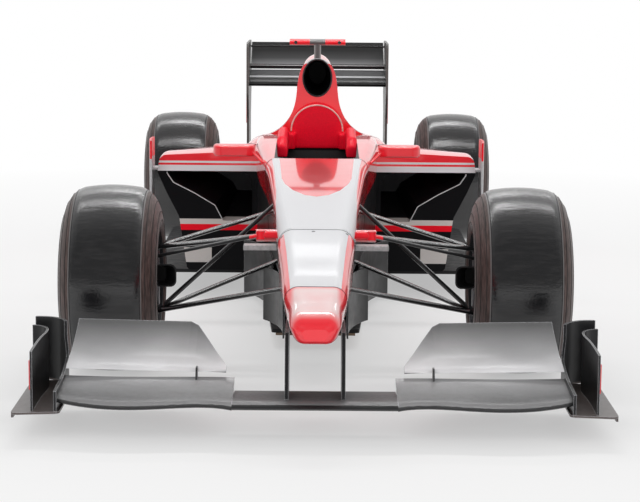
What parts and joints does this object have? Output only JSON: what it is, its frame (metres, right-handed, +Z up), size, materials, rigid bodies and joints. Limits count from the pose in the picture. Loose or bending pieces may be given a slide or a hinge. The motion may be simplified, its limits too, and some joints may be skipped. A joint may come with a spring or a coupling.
{
  "type": "open wheel racing car",
  "caption": "Single seat open wheel racing car with slick tyres, front and rear wings, sidepods, steering and a tilting rear wing flap.",
  "frame": {"origin": "on the ground, on the centre plane, midway between the front wing's edge and the rear lamp", "axes": "+Y towards the rear wing, +X towards the car's left side, +Z up"},
  "size_m": [1.83, 5.0204, 1.108],
  "materials": {
    "body_paint": "gloss red over carbon composite, with white panels",
    "carbon": "gloss black carbon composite",
    "satin_carbon": "satin black carbon composite",
    "skid_wood": "dark pressed wood laminate",
    "red_pad": "red skin over foam",
    "seat_carbon": "bare moulded carbon",
    "grip": "black grips on a carbon plate",
    "tyre_rubber": "slick rubber, satin",
    "wheel_metal": "dark anodised forged magnesium",
    "upright_metal": "machined",
    "steel": "bare steel",
    "cast_metal": "cast",
    "lamp": "red lamp lens"
  },
  "bodies": {
    "chassis": {"floor": "satin_carbon", "plank": "skid_wood", "diffuser": "satin_carbon", "monocoque": "body_paint", "nose_cone": "body_paint", "engine_cover": "body_paint", "sidepod_left": "body_paint", "sidepod_right": "body_paint", "headrest": "red_pad", "seat": "seat_carbon", "mirrors": "body_paint", "camera_pod": "satin_carbon", "front_wing_main": "carbon", "front_flaps": "carbon", "flap_brackets": "satin_carbon", "front_endplates": "carbon", "nose_pylons": "satin_carbon", "turning_vanes": "satin_carbon", "bargeboards": "satin_carbon", "pod_vanes": "carbon", "front_wishbones": "carbon", "front_pushrods": "carbon", "rear_wishbones": "carbon", "rear_pullrods": "carbon", "rear_uprights": "satin_carbon", "drive_shafts": "steel", "engine_block": "cast_metal", "gearbox": "satin_carbon", "rain_light": "lamp", "exhausts": "steel", "rear_wing_main": "carbon", "rear_endplates": "carbon", "beam_wing": "carbon"},
    "knuckle_left": {"front_upright_left": "upright_metal", "front_duct_left": "satin_carbon"},
    "knuckle_right": {"front_upright_right": "upright_metal", "front_duct_right": "satin_carbon"},
    "front_wheel_left": {"front_tyre_left": "tyre_rubber", "front_rim_left": "wheel_metal"},
    "front_wheel_right": {"front_tyre_right": "tyre_rubber", "front_rim_right": "wheel_metal"},
    "rear_wheel_left": {"rear_tyre_left": "tyre_rubber", "rear_rim_left": "wheel_metal"},
    "rear_wheel_right": {"rear_tyre_right": "tyre_rubber", "rear_rim_right": "wheel_metal"},
    "rack": {"steering_rack": "carbon"},
    "hand_wheel": {"steering_wheel": "grip"},
    "rear_flap": {"rear_wing_flap": "carbon"}
  },
  "joints": [
    {"name": "steer_left", "type": "hinge", "parent": "chassis", "child": "knuckle_left", "pos_m": [0.578, -1.391, 0.33], "axis": [0, 0, 1], "range_deg": [-15, 15]},
    {"name": "steer_right", "type": "hinge", "parent": "chassis", "child": "knuckle_right", "pos_m": [-0.578, -1.391, 0.33], "axis": [0, 0, 1], "range_deg": [-15, 15]},
    {"name": "front_wheel_left_spin", "type": "hinge", "parent": "knuckle_left", "child": "front_wheel_left", "pos_m": [0.7175, -1.391, 0.33], "axis": [1, 0, 0], "continuous": true},
    {"name": "front_wheel_right_spin", "type": "hinge", "parent": "knuckle_right", "child": "front_wheel_right", "pos_m": [-0.7175, -1.391, 0.33], "axis": [1, 0, 0], "continuous": true},
    {"name": "rear_wheel_left_spin", "type": "hinge", "parent": "chassis", "child": "rear_wheel_left", "pos_m": [0.7025, 1.909, 0.33], "axis": [1, 0, 0], "continuous": true},
    {"name": "rear_wheel_right_spin", "type": "hinge", "parent": "chassis", "child": "rear_wheel_right", "pos_m": [-0.7025, 1.909, 0.33], "axis": [1, 0, 0], "continuous": true},
    {"name": "rack_slide", "type": "slide", "parent": "chassis", "child": "rack", "axis": [1, 0, 0], "range_m": [-0.02324, 0.02324]},
    {"name": "hand_wheel_turn", "type": "hinge", "parent": "chassis", "child": "hand_wheel", "pos_m": [0, -0.381, 0.563], "axis": [0, 0.9781, 0.2079], "range_deg": [-120.1, 120.1]},
    {"name": "rear_flap_tilt", "type": "hinge", "parent": "chassis", "child": "rear_flap", "pos_m": [0, 2.3833, 0.98604], "axis": [-1, 0, 0], "range_deg": [0, 20]}
  ],
  "couplings": [
    {"joint": "steer_right", "follows": "steer_left", "ratio": 1},
    {"joint": "rack_slide", "follows": "steer_left", "m_per_rad": 0.088},
    {"joint": "hand_wheel_turn", "follows": "steer_left", "ratio": 8}
  ]
}
